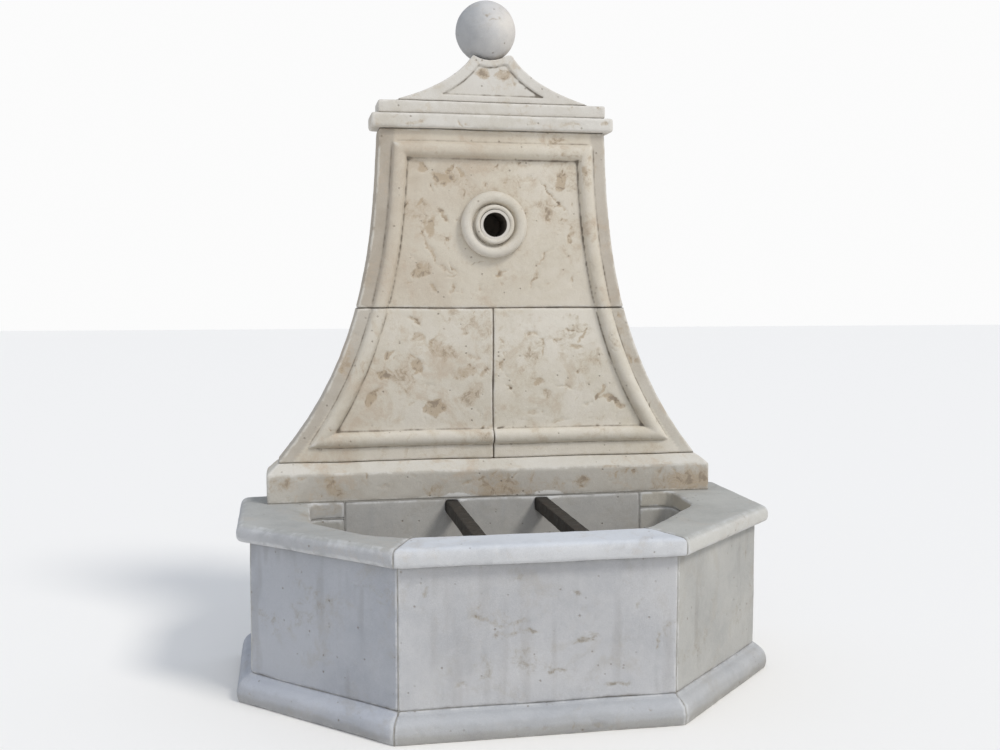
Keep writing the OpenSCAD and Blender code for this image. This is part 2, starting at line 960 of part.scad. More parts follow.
// The plug drops into the waste and hangs on its flange by the seal
module waste_plug() {
    top = floor_h + seal_h;
    color(brass_gold) at_waste() {
        translate([0, 0, floor_h - plug_tail])
            cylinder(h = plug_tail + seal_h, r = plug_r, $fn = 96);
        translate([0, 0, top]) cylinder(h = plug_top_h, r = plug_top_r, $fn = 96);
        translate([0, 0, top + plug_top_h]) cylinder(h = stem_h, r = stem_r, $fn = 48);
        translate([0, 0, top + plug_top_h + stem_h + 6]) sphere(r = knob_r, $fn = 64);
    }
}

module plug_seal() {
    color(rubber_black) at_waste() translate([0, 0, floor_h + slip]) difference() {
        cylinder(h = seal_h - slip, r = plug_top_r - 2, $fn = 96);
        translate([0, 0, -1]) cylinder(h = seal_h + 2, r = plug_r + slip, $fn = 96);
    }
}

// ---------------------------------------------------------------- nodes

base_front();
base_left();
base_right();
wall_front();
wall_cant_left();
wall_cant_right();
wall_return_left();
wall_return_right();
wall_back();
basin_floor();
coping_front();
coping_left();
coping_right();
bar_left();
bar_right();
backboard_plinth();
lower_panel_left();
lower_panel_right();
upper_panel();
spout_rosette();
spout_sleeve();
cornice_slab();
cornice_cap();
pediment();
ball_finial();
finial_dowel();
panel_dowels();
wall_cramps();
basin_mortar();
backboard_mortar();
waste_body();
waste_washer();
waste_nut();
waste_plug();
plug_seal();
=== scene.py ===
"""Looks of a limestone wall fountain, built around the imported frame."""

import json
import math

import bpy
import numpy as np
from mathutils.bvhtree import BVHTree
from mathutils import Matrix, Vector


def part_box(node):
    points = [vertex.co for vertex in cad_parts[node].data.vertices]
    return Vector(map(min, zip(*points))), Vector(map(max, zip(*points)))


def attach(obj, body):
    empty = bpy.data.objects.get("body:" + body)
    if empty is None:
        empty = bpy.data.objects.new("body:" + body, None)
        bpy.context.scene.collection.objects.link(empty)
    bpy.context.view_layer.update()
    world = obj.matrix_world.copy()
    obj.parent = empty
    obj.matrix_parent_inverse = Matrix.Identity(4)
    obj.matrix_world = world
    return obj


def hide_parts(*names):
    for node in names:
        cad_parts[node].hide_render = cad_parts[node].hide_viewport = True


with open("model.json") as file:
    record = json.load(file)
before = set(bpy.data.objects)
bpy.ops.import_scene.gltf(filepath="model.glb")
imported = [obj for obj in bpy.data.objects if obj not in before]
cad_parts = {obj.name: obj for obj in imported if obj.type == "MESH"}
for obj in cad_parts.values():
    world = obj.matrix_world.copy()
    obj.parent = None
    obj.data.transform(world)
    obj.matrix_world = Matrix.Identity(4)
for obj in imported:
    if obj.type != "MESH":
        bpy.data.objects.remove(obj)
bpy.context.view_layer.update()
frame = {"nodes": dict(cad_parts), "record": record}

# ---------------------------------------------------------------- camera, light, floor

CAMERA_AT = (-0.641, -3.229, 1.1495)
CAMERA_YAW = 10.67        # degrees, towards +X
CAMERA_PITCH = -4.31      # degrees, below the horizon
LENS = 41.1               # mm, on a sensor 36 mm wide


def make_camera():
    data = bpy.data.cameras.new("camera")
    data.lens = LENS
    data.sensor_width = 36
    camera = bpy.data.objects.new("camera", data)
    camera.location = CAMERA_AT
    camera.rotation_euler = (math.radians(90 + CAMERA_PITCH), 0, math.radians(-CAMERA_YAW))
    bpy.context.scene.collection.objects.link(camera)
    bpy.context.scene.camera = camera


def make_sun(name, strength, colour, softness, tilt, turn):
    """A soft light from far away. tilt is down from overhead, turn is round from the front."""
    data = bpy.data.lights.new(name, "SUN")
    data.energy = strength
    data.color = colour
    data.angle = math.radians(softness)
    lamp = bpy.data.objects.new(name, data)
    lamp.rotation_euler = (math.radians(tilt), 0, math.radians(turn))
    bpy.context.scene.collection.objects.link(lamp)


def make_surroundings():
    world = bpy.data.worlds.new("soft_studio")
    bpy.context.scene.world = world
    world.use_nodes = True
    tree = world.node_tree
    background = tree.nodes["Background"]
    way = put(tree, "ShaderNodeTexCoord").outputs["Generated"]
    up = put(tree, "ShaderNodeSeparateXYZ", {"Vector": way}).outputs["Z"]
    sky = mixed(tree, between(tree, up, -0.1, 0.9), (0.50, 0.50, 0.50, 1), (0.57, 0.625, 0.72, 1))
    seen = put(tree, "ShaderNodeLightPath").outputs["Is Camera Ray"]
    tree.links.new(mixed(tree, seen, sky, (0.97, 0.97, 0.97, 1)), background.inputs["Color"])
    make_sun("key", 1.50, (1.0, 0.97, 0.92), 15, 44, 42)
    make_sun("fill", 0.30, (0.97, 0.98, 1.0), 50, 62, -5)
    bpy.context.scene.view_settings.view_transform = "Standard"
    bpy.context.scene.view_settings.look = "None"


FLOOR_HALF = 30           # metres


def make_floor():
    mesh = bpy.data.meshes.new("floor")
    far = FLOOR_HALF
    corners = [(-far, -far, 0), (far, -far, 0), (far, far, 0), (-far, far, 0)]
    mesh.from_pydata(corners, [], [(0, 1, 2, 3)])
    floor = bpy.data.objects.new("floor", mesh)
    bpy.context.scene.collection.objects.link(floor)
    material, tree, shader = new_material("pale_floor")
    shader.inputs["Base Color"].default_value = (0.95, 0.925, 0.885, 1)
    shader.inputs["Roughness"].default_value = 0.9
    mesh.materials.append(material)


# ---------------------------------------------------------------- material nodes

def new_material(name):
    material = bpy.data.materials.new(name)
    material.use_nodes = True
    tree = material.node_tree
    return material, tree, tree.nodes["Principled BSDF"]


def put(tree, kind, inputs=None, **settings):
    """A new node, with its settings, and its inputs set or linked."""
    node = tree.nodes.new(kind)
    for key, value in settings.items():
        setattr(node, key, value)
    for key, value in (inputs or {}).items():
        if isinstance(value, bpy.types.NodeSocket):
            tree.links.new(value, node.inputs[key])
        else:
            node.inputs[key].default_value = value
    return node


def noise_node(tree, place, scale, detail=4.0, roughness=0.55, warp=0.0):
    return put(tree, "ShaderNodeTexNoise", {
        "Vector": place, "Scale": scale, "Detail": detail, "Roughness": roughness, "Distortion": warp,
    }).outputs["Fac"]


def between(tree, value, low, high, most=1.0):
    """value from low to high becomes 0 to most, smoothly, and stays there outside them."""
    return put(tree, "ShaderNodeMapRange", {
        "Value": value, "From Min": low, "From Max": high, "To Min": 0.0, "To Max": most,
    }, interpolation_type="SMOOTHSTEP").outputs["Result"]


def maths(tree, operation, a, b):
    return put(tree, "ShaderNodeMath", {0: a, 1: b}, operation=operation).outputs[0]


def mixed(tree, share, a, b, how="MIX"):
    node = put(tree, "ShaderNodeMix", {0: share, 6: a, 7: b}, data_type="RGBA", blend_type=how)
    return node.outputs[2]


def attribute(tree, name):
    return put(tree, "ShaderNodeAttribute", attribute_name=name).outputs["Fac"]


def stretched(tree, place, factors):
    """Coordinates scaled along each axis, for streaks."""
    return put(tree, "ShaderNodeMapping", {"Vector": place, "Scale": factors}).outputs["Vector"]


def rgba(colour):
    return (*colour, 1.0)


# ---------------------------------------------------------------- materials

LIME = (0.72, 0.71, 0.68, 1)
# The dark colour of dirt, also used as painted shade in creases and recesses.
DIRT_AND_SHADE = (0.105, 0.085, 0.062, 1)
SPECK = (0.2, 0.165, 0.125, 1)


def own_tone(tree, place, light, dark):
    """Wide clouds, then mottling, then the tint on the mesh, which carries painted light and shade
    along with the stone's own tone. Also gives the mottling.
    """
    wide = between(tree, noise_node(tree, place, 3.1, 5, 0.6, 0.4), 0.34, 0.66)
    colour = mixed(tree, wide, rgba(dark), rgba(light))
    mottle = between(tree, noise_node(tree, place, 21, 6, 0.65, 0.6), 0.3, 0.7)
    colour = mixed(tree, mottle, colour, mixed(tree, 0.55, colour, rgba(light)))
    tint_and_light = put(tree, "ShaderNodeAttribute", attribute_name="tint_and_light").outputs["Color"]
    return mixed(tree, 1.0, colour, tint_and_light, "MULTIPLY"), mottle


def weathered(tree, place, ragged, colour, dark, tan, blotch, streak):
    """Tan blotches where wide clouds and ragged ones meet, and rain streaks down the face."""
    cloud = noise_node(tree, place, 5.3, 7, 0.68, 1.1)
    both = maths(tree, "ADD", cloud, maths(tree, "MULTIPLY", ragged, 0.45))
    colour = mixed(tree, between(tree, both, 0.74, 0.92, blotch), colour, rgba(tan))
    down = stretched(tree, place, (1.0, 1.0, 0.12))
    rain = between(tree, noise_node(tree, down, 26, 4, 0.6), 0.55, 0.75, streak)
    return mixed(tree, rain, colour, rgba([0.8 * c for c in dark]))


def stained(tree, place, ragged, colour, tan):
    """The stains and the lime laid on the mesh, broken up at their edges."""
    torn = noise_node(tree, place, 80, 5, 0.62, 1.6)
    wide_edge = maths(tree, "MULTIPLY", ragged, 1.1)
    edge = maths(tree, "ADD", wide_edge, maths(tree, "MULTIPLY", torn, 0.5))
    stain = attribute(tree, "stain")
    shown = between(tree, maths(tree, "ADD", stain, edge), 1.0, 1.5, 0.75)
    colour = mixed(tree, shown, colour, rgba([0.86 * tan[0], 0.83 * tan[1], 0.76 * tan[2]]))
    core = maths(tree, "MULTIPLY", stain, between(tree, ragged, 0.46, 0.62))
    dark_tan = rgba([0.55 * c for c in tan])
    colour = mixed(tree, between(tree, core, 0.22, 0.62, 0.75), colour, dark_tan)
    lime = maths(tree, "ADD", attribute(tree, "lime"), edge)
    return mixed(tree, between(tree, lime, 1.25, 1.5, 0.75), colour, LIME)


def worn(tree, place, mottle, colour, light):
    """Paler arrises where they are worn, and dirt with painted shade in the corners and creases."""
    wear = between(tree, maths(tree, "MULTIPLY", attribute(tree, "wear"), mottle), 0.1, 0.8, 0.5)
    colour = mixed(tree, wear, colour, rgba([min(1.0, 1.12 * c) for c in light]))
    grime_breakup = noise_node(tree, place, 90, 4, 0.7)
    dirt_and_shade = maths(tree, "MULTIPLY", attribute(tree, "grime_and_shade"), maths(tree, "ADD", grime_breakup, 0.45))
    return mixed(tree, between(tree, dirt_and_shade, 0.08, 0.75, 0.85), colour, DIRT_AND_SHADE)


def specks(tree, place):
    """1 in a few small round specks, 0 elsewhere."""
    cells = put(tree, "ShaderNodeTexVoronoi", {"Vector": place, "Scale": 58.0, "Randomness": 1.0})
    chance = put(tree, "ShaderNodeSeparateColor", {"Color": cells.outputs["Color"]}).outputs[0]
    near = between(tree, cells.outputs["Distance"], 0.24, 0.1)
    return maths(tree, "MULTIPLY", near, between(tree, chance, 0.86, 0.94))


def stone_relief(tree, layers):
    """Bumps on top of each other. Each layer is its height, strength and distance."""
    inputs = {}
    for height, strength, distance in layers:
        inputs.update({"Height": height, "Strength": strength, "Distance": distance})
        inputs["Normal"] = put(tree, "ShaderNodeBump", inputs).outputs[0]
    return inputs["Normal"]


def limestone(name, light, dark, tan, blotch, streak, seed):
    """Weathered limestone. light and dark are its own tones, tan the stain's."""
    material, tree, shader = new_material(name)
    here = put(tree, "ShaderNodeTexCoord").outputs["Object"]
    place = put(tree, "ShaderNodeMapping", {"Vector": here, "Location": (seed, seed, seed)}).outputs[0]
    ragged = noise_node(tree, place, 34, 6, 0.7, 0.8)
    grain = noise_node(tree, place, 620, 2, 0.6)
    tooled = noise_node(tree, place, 75, 5, 0.65, 0.5)
    speck = specks(tree, place)

    colour, mottle = own_tone(tree, place, light, dark)
    colour = weathered(tree, place, ragged, colour, dark, tan, blotch, streak)
    colour = stained(tree, place, ragged, colour, tan)
    colour = worn(tree, place, mottle, colour, light)
    colour = mixed(tree, maths(tree, "MULTIPLY", speck, 0.55), colour, SPECK)
    colour = mixed(tree, between(tree, grain, 0.3, 0.7, 0.16), colour, (1, 1, 1, 1), "OVERLAY")
    tree.links.new(colour, shader.inputs["Base Color"])

    rough = put(tree, "ShaderNodeMapRange", {
        "Value": mottle, "From Min": 0.0, "From Max": 1.0, "To Min": 0.94, "To Max": 0.82,
    }).outputs["Result"]
    tree.links.new(rough, shader.inputs["Roughness"])
    shader.inputs["Specular IOR Level"].default_value = 0.3
    relief = stone_relief(tree, (
        (tooled, 0.45, 0.0022), (grain, 0.35, 0.0006), (speck, 0.7, -0.0022),
    ))
    tree.links.new(relief, shader.inputs["Normal"])
    return material


def coarse(name, tones, scale, roughness, metal=0.0, relief=0.001, patches=None, end=None):
    """A plain uneven material: two tones in noise, and patches of a third. end is an axis, a
    place on it, and the colour that takes over below that place."""
    material, tree, shader = new_material(name)
    here = put(tree, "ShaderNodeTexCoord").outputs["Object"]
    cloud = noise_node(tree, here, scale, 6, 0.65, 0.3)
    colour = mixed(tree, between(tree, cloud, 0.35, 0.65), rgba(tones[0]), rgba(tones[1]))
    if patches:
        spots = between(tree, noise_node(tree, here, scale * 2.3, 5, 0.7, 0.8), 0.52, 0.66, 0.8)
        colour = mixed(tree, spots, colour, rgba(patches))
    if end:
        place = put(tree, "ShaderNodeSeparateXYZ", {"Vector": here}).outputs[end[0]]
        under = between(tree, place, end[1] + 0.002, end[1] - 0.002)
        colour = mixed(tree, under, colour, rgba(end[2]))
    tree.links.new(colour, shader.inputs["Base Color"])
    shader.inputs["Metallic"].default_value = metal
    rough = put(tree, "ShaderNodeMapRange", {
        "Value": cloud, "From Min": 0.3, "From Max": 0.7,
        "To Min": roughness[0], "To Max": roughness[1],
    }).outputs["Result"]
    tree.links.new(rough, shader.inputs["Roughness"])
    fine = noise_node(tree, here, scale * 9, 4, 0.6)
    bump = put(tree, "ShaderNodeBump", {"Height": fine, "Strength": 0.6, "Distance": relief})
    tree.links.new(bump.outputs[0], shader.inputs["Normal"])
    return material


# ---------------------------------------------------------------- noise on points

def lattice(ix, iy, iz, seed):
    """A random number from -1 to 1 for each whole-number place."""
    h = ix * 73856093 ^ iy * 19349663 ^ iz * 83492791 ^ (seed * 1640531513 + 97)
    h = (h ^ (h >> 15)) * 2246822519 & 0xFFFFFFFF
    h = (h ^ (h >> 13)) * 3266489917 & 0xFFFFFFFF
    return ((h ^ (h >> 16)) & 0xFFFFFF) / 8388607.5 - 1


def smooth_noise(points, size, seed):
    """Noise from -1 to 1 whose lumps are about size metres across."""
    p = points / size
    cell = np.floor(p)
    f = p - cell
    f = f * f * (3 - 2 * f)
    cell = cell.astype(np.int64)
    total = 0
    for dx in (0, 1):
        wx = f[:, 0] if dx else 1 - f[:, 0]
        for dy in (0, 1):
            wy = f[:, 1] if dy else 1 - f[:, 1]
            for dz in (0, 1):
                wz = f[:, 2] if dz else 1 - f[:, 2]
                corner = lattice(cell[:, 0] + dx, cell[:, 1] + dy, cell[:, 2] + dz, seed)
                total = total + wx * wy * wz * corner
    return total


OCTAVES = 3


def rough_noise(points, size, seed):
    """Noise from about -1 to 1, with finer lumps on the coarse ones."""
    total, share = 0, 1.0
    for i in range(OCTAVES):
        total = total + share * smooth_noise(points, size / 2 ** i, seed + i)
        share *= 0.55
    return total / 1.6


def step(values, low, high):
    """0 below low, 1 above high, and smooth between; low may be the larger."""
    t = np.clip((values - low) / (high - low), 0, 1)
    return t * t * (3 - 2 * t)


# ---------------------------------------------------------------- meshes

def even_mesh(node, cell):
    """A closed mesh of even small faces over a CAD node, as a new object with no materials."""
    source = frame["nodes"][node]
    copy = bpy.data.objects.new(node + "_stone", source.data.copy())
    bpy.context.scene.collection.objects.link(copy)
    remesh = copy.modifiers.new("even", "REMESH")
    remesh.mode = "VOXEL"
    remesh.voxel_size = cell
    bpy.context.view_layer.update()
    graph = bpy.context.evaluated_depsgraph_get()
    mesh = bpy.data.meshes.new_from_object(copy.evaluated_get(graph), depsgraph=graph)
    copy.modifiers.clear()
    copy.data = mesh
    mesh.materials.clear()
    mesh.shade_smooth()
    return copy


class Surface:
    """A mesh's points and edges as arrays, with the few operations that carving needs."""

    def __init__(self, piece, cell):
        self.mesh = piece.data
        self.cell = cell
        count = len(self.mesh.vertices)
        self.points = self.read(self.mesh.vertices, "co", count * 3).reshape(-1, 3)
        ends = np.zeros(len(self.mesh.edges) * 2, np.int32)
        self.mesh.edges.foreach_get("vertices", ends)
        self.a, self.b = ends.reshape(-1, 2).T
        self.degree = np.maximum(np.bincount(self.a, minlength=count)
                                 + np.bincount(self.b, minlength=count), 1)
        self.marks = {}
        self.tint_and_light = np.ones((count, 4))

    @staticmethod
    def read(items, name, length):
        values = np.zeros(length, np.float32)
        items.foreach_get(name, values)
        return values.astype(float)

    def averaged(self, values):
        """Each point's value as the mean of its neighbours'."""
        count = len(self.degree)
        total = (np.bincount(self.a, weights=values[self.b], minlength=count)
                 + np.bincount(self.b, weights=values[self.a], minlength=count))
        return total / self.degree

    def relaxed(self, passes, share=0.6):
        points = self.points.copy()
        for _ in range(passes):
            for k in range(3):
                points[:, k] += share * (self.averaged(points[:, k]) - points[:, k])
        return points

    def write(self):
        self.mesh.vertices.foreach_set("co", self.points.astype(np.float32).ravel())
        self.mesh.update()

    def normals(self):
        self.write()
        count = len(self.points)
        return self.read(self.mesh.vertices, "normal", count * 3).reshape(-1, 3)

    def mark(self, name, values):
        """Adds to one of the marks that the material reads."""
        self.marks[name] = np.clip(self.marks.get(name, 0) + values, 0, 1)

    def finish(self):
        self.write()
        for name in ("stain", "lime", "wear", "grime_and_shade"):
            values = self.marks.get(name, np.zeros(len(self.points)))
            layer = self.mesh.attributes.new(name, "FLOAT", "POINT")
            layer.data.foreach_set("value", np.asarray(values, np.float32))
        layer = self.mesh.attributes.new("tint_and_light", "FLOAT_COLOR", "POINT")
        layer.data.foreach_set("color", self.tint_and_light.astype(np.float32).ravel())

    def shade(self, share, colour):
        """Multiplies the tint, own tone with painted light and shade, by a colour, as far as share (0
        to 1) says at each point.
        """
        change = 1 + np.asarray(share)[..., None] * (np.array(colour) - 1)
        self.tint_and_light[:, :3] *= change


# ---------------------------------------------------------------- carving stone

WARP_SEED = 5
WARP_SIZE = 0.16          # the stones lean and wave together over this distance
WARP_DEPTH = 0.0016
WAVE_DEPTH = 0.0006       # each face's own waves
RIPPLE_DEPTH = 0.0004
GRAIN_DEPTH = 0.0002
JOINT_GROWTH = {"basin": 0.0014, "coping": 0.0014, "backboard": 0.0007, "ball": 0}  # each side
# Painted shade with some dirt in creases and recesses, for each finish.
CREASE_SHADE_AND_DIRT = {"basin": 0.0, "coping": 0.0, "backboard": 1.0, "ball": 0.0}


def warped(points):
    """Moves points by a slow wave that all stones share, so that joints wander but stay closed."""
    moved = points.copy()
    for k in range(3):
        moved[:, k] += WARP_DEPTH * smooth_noise(points, WARP_SIZE, WARP_SEED + k)
    moved[:, 2] = np.maximum(moved[:, 2], 0)
    return moved


JOINT_NEAR = (0.0035, 0.011)    # an arris nearer than this to another stone is hardly worn
JOINT_WEAR = 0.2          # the share of wear that is left at a joint
WIDE_PASSES = 26
WIDE_BULGE = 0.0035       # metres that a bulge stands out of its surroundings


def free_share(surface, where, node):
    """0 at points close to another stone, 1 well away from all of them."""
    free = np.ones(len(surface.points))
    others = [tree for name, tree in JOINT_TREES.items() if name != node]
    for i in np.flatnonzero(where):
        for tree in others:
            found = tree.find_nearest(surface.points[i], JOINT_NEAR[1])[3]
            if found is not None:
                free[i] = min(free[i], found)
    return step(free, *JOINT_NEAR)


def wear_arrises(surface, node, seed, amount, passes, chips, dirt_and_shade=0.0):
    """Rounds the outer arrises unevenly, breaks chips out of them, and marks worn arrises, and corners
    with painted shade and dirt.
    """
    normals = surface.normals()
    soft = surface.relaxed(passes)
    bend = ((soft - surface.points) * normals).sum(1) / surface.cell
    ridge = step(-bend, 0.04, 0.3)
    # Concave creases get painted shade with some dirt, where shade would fall.
    crease = step(surface.averaged(surface.averaged(bend)), 0.03, 0.2)
    crease *= dirt_and_shade * np.clip(0.45 + 0.6 * rough_noise(surface.points, 0.05, seed + 6), 0, 1)
    uneven = 0.5 + 0.5 * rough_noise(surface.points, 0.07, seed)
    share = np.clip(amount * (0.35 + 0.9 * uneven), 0, 1) * ridge
    broken = step(rough_noise(surface.points, 0.022, seed + 3), 0.42, 0.6)
    broken = broken * step(smooth_noise(surface.points, 0.09, seed + 9), 0.05, 0.4)
    share = np.maximum(share, chips * broken * ridge)
    share *= JOINT_WEAR + (1 - JOINT_WEAR) * free_share(surface, share > 0.02, node)
    surface.points += share[:, None] * (soft - surface.points) * (1 + chips * broken[:, None])
    wide = surface.relaxed(WIDE_PASSES)
    bulge = ((surface.points - wide) * normals).sum(1) / WIDE_BULGE
    surface.mark("wear", 0.6 * ridge + 0.7 * step(bulge, 0.1, 1.0))
    # Painted shade with some dirt in creases and in places sunk below their surroundings.
    surface.mark("grime_and_shade", crease + 0.35 * dirt_and_shade * step(-bulge, 0.1, 1.0))


def roll_faces(surface, seed, growth):
    """Gives the faces the waves of hand dressing, and closes the joints to a thin line."""
    normals = surface.normals()
    p = surface.points
    cut = WAVE_DEPTH * smooth_noise(p, 0.11, seed)
    cut += RIPPLE_DEPTH * rough_noise(p, 0.035, seed + 4)
    cut += GRAIN_DEPTH * smooth_noise(p, 0.009, seed + 8)
    surface.points += (growth - cut)[:, None] * normals


CUT_SHARE = 1.35          # every mark is cut this many times its own depth


def strike(surface, strokes, centre, seed, facing=(0, -1, 0)):
    """Tool marks on the front face. Each is (x, z, length, width, angle, depth, stain),
    in millimetres and degrees, from centre (x, z)."""
    normals = surface.normals()
    front = step(normals @ np.array(facing, float), 0.55, 0.85)
    p = surface.points
    wobble_x = 0.013 * rough_noise(p, 0.026, seed)
    wobble_z = 0.013 * rough_noise(p, 0.026, seed + 5)
    cut = np.zeros(len(p))
    stained = np.zeros(len(p))
    for x, z, length, width, angle, depth, stain in strokes:
        dx = p[:, 0] + wobble_x - centre[0] - x / 1000
        dz = p[:, 2] + wobble_z - centre[1] - z / 1000
        c, s = math.cos(math.radians(angle)), math.sin(math.radians(angle))
        along = (dx * c + dz * s) / (length / 2000)
        across = (dz * c - dx * s) / (width / 2000)
        inside = step(along ** 2 + across ** 2, 2.2, 0.0) * front
        cut = np.maximum(cut, CUT_SHARE * inside * depth / 1000)
        stained = np.maximum(stained, inside * stain)
    surface.points -= cut[:, None] * normals
    surface.mark("stain", stained)


def scatter(count, reach_x, reach_z, seed):
    """Small random strokes round a centre, out to reach_x and reach_z millimetres."""
    rng = np.random.default_rng(seed)
    strokes = []
    for _ in range(count):
        long = rng.uniform(10, 34)
        strokes.append((
            rng.uniform(-reach_x, reach_x), rng.uniform(*reach_z), long,
            rng.uniform(0.2, 0.5) * long, rng.uniform(-80, 80),
            rng.uniform(0.3, 1.0), rng.uniform(0.15, 0.5),
        ))
    return strokes


def clouds(count, reach_x, reach_z, seed):
    """Wide faint stains, with next to no depth."""
    rng = np.random.default_rng(seed)
    return [(
        rng.uniform(-reach_x, reach_x), rng.uniform(*reach_z), rng.uniform(70, 170),
        rng.uniform(40, 90), rng.uniform(-80, 80), 0.25, rng.uniform(0.28, 0.46),
    ) for _ in range(count)]


SEAM_REACH = 0.0022
SEAM_SEED = 77


def dirty_seam(surface, axis, value):
    """Dirt along a joint that lies across an axis, thicker in some places than in others."""
    distance = np.abs(surface.points[:, axis] - value)
    patchy = 0.6 + 0.5 * rough_noise(surface.points, 0.05, SEAM_SEED)
    surface.mark("grime_and_shade", patchy * np.exp(-distance / SEAM_REACH))


# ---------------------------------------------------------------- the rim of the basin

def corner_line(offsets):
    """The basin's plan a given way inside its faces, at offsets (left, front, right, back)."""
    left, front, right, back = offsets
    low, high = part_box("wall_back")
    back_face = high.y
    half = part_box("wall_return_right")[1].x
    front_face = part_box("wall_front")[0].y
    front_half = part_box("base_front")[1].x
    cant = math.tan(math.radians(22.5))
    turn = front_face + half - front_half
    return np.array([
        (-half + left, back_face - back),
        (-half + left, turn + cant * left),
        (-front_half + cant * front, front_face + front),
        (front_half - cant * front, front_face + front),
        (half - right, turn + cant * right),
        (half - right, back_face - back),
    ])


def outside_line(points, line):
    """Distance outside a closed line in plan, negative within it."""
    xy = points[:, :2]
    nearest = np.full(len(xy), np.inf)
    within = np.zeros(len(xy), bool)
    for p, q in zip(line, np.roll(line, -1, 0)):
        along = q - p
        t = np.clip(((xy - p) @ along) / (along @ along), 0, 1)
        nearest = np.minimum(nearest, np.linalg.norm(xy - p - t[:, None] * along, axis=1))
        crosses = (p[1] > xy[:, 1]) != (q[1] > xy[:, 1])
        x = p[0] + (xy[:, 1] - p[1]) / (q[1] - p[1] + 1e-12) * along[0]
        within ^= crosses & (xy[:, 0] < x)
    return np.where(within, -nearest, nearest)


RIM_OFFSETS = (0.168, 0.118, 0.168, 0.148)      # from the faces to the bowl: left, front, right, back
SLOPE_LEFT = (0.075, 0.022)     # width and depth of the worn slope into the bowl
SLOPE_FRONT = (0.030, 0.0035)
SLOPE_RIGHT = (0.030, 0.005)


def slope_rim(surface):
    """Wears the coping down towards the bowl, most of all on the left."""
    low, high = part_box("coping_front")
    plinth_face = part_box("backboard_plinth")[0].y
    p = surface.points
    left = step(p[:, 0], -0.30, -0.46)
    right = step(p[:, 0], 0.30, 0.46)
    middle = 1 - left - right
    width = left * SLOPE_LEFT[0] + middle * SLOPE_FRONT[0] + right * SLOPE_RIGHT[0]
    depth = left * SLOPE_LEFT[1] + middle * SLOPE_FRONT[1] + right * SLOPE_RIGHT[1]
    away = outside_line(p, corner_line(RIM_OFFSETS))
    drop = depth * np.clip(1 - away / width, 0, 1) ** 1.6
    drop *= step(p[:, 1], plinth_face - 0.004, plinth_face - 0.07)
    height = np.clip((p[:, 2] - low.z) / (high.z - low.z), 0, 1)
    p[:, 2] -= drop * height
    upper = step(p[:, 2], low.z, high.z - 0.03)
    # A tan band on the left coping's top, partly stain and partly painted shade of the backboard.
    surface.mark("stain", 0.35 * left * step(away, width * 1.2, 0.02) * upper)


# ---------------------------------------------------------------- the stones

SPOUT_AT = [m for m in frame["record"]["mounts"] if m["name"] == "spout_bore"][0]["pos_m"]
JOINT_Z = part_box("lower_panel_left")[1].z

UPPER_STROKES = [
    (-220, 175, 45, 16, -30, 1.6, 0.7), (-135, 175, 30, 18, 70, 1.8, 0.8),
    (-170, 145, 60, 34, -20, 1.0, 0.55), (-140, 130, 34, 16, 20, 1.4, 0.5),
    (-190, 115, 26, 12, -60, 1.3, 0.5), (-100, 160, 50, 8, -65, 1.3, 0.5),
    (-230, 70, 40, 9, 55, 1.0, 0.45), (-155, 20, 50, 14, -65, 1.6, 0.6),
    (-195, -10, 60, 24, 80, 1.0, 0.6), (-200, -75, 90, 12, -65, 1.4, 0.6),
    (-225, -140, 60, 40, 20, 0.8, 0.6), (-185, -190, 30, 12, -60, 1.2, 0.6),
    (-135, -200, 34, 16, 65, 1.2, 0.55), (-100, -210, 22, 10, 80, 1.0, 0.4),
    (-125, -130, 55, 8, -48, 1.6, 0.6), (-150, -140, 48, 9, -20, 1.3, 0.45),
    (-135, -157, 40, 5, 5, 1.3, 0.5), (-50, -118, 62, 6, 2, 1.4, 0.55),
    (25, -155, 42, 15, 36, 1.8, 0.7), (-45, -195, 24, 12, 20, 1.2, 0.5),
    (150, -105, 80, 12, 52, 1.5, 0.55), (130, -160, 78, 14, 60, 1.5, 0.55),
    (175, -75, 40, 9, 30, 1.3, 0.45), (178, 15, 16, 7, 70, 1.0, 0.5),
    (112, 145, 44, 20, 8, 1.2, 0.45), (186, 96, 140, 6, -47, 1.7, 0.65),
    (213, 133, 52, 36, 70, 0.6, 0.85), (-20, 130, 18, 12, 60, 0.9, 0.4),
    (245, -40, 30, 10, 75, 1.0, 0.4), (255, -170, 34, 10, 70, 1.0, 0.5),
    (10, 192, 20, 8, 70, 1.0, 0.4), (60, -75, 70, 30, 0, 0.4, 0.4),
]
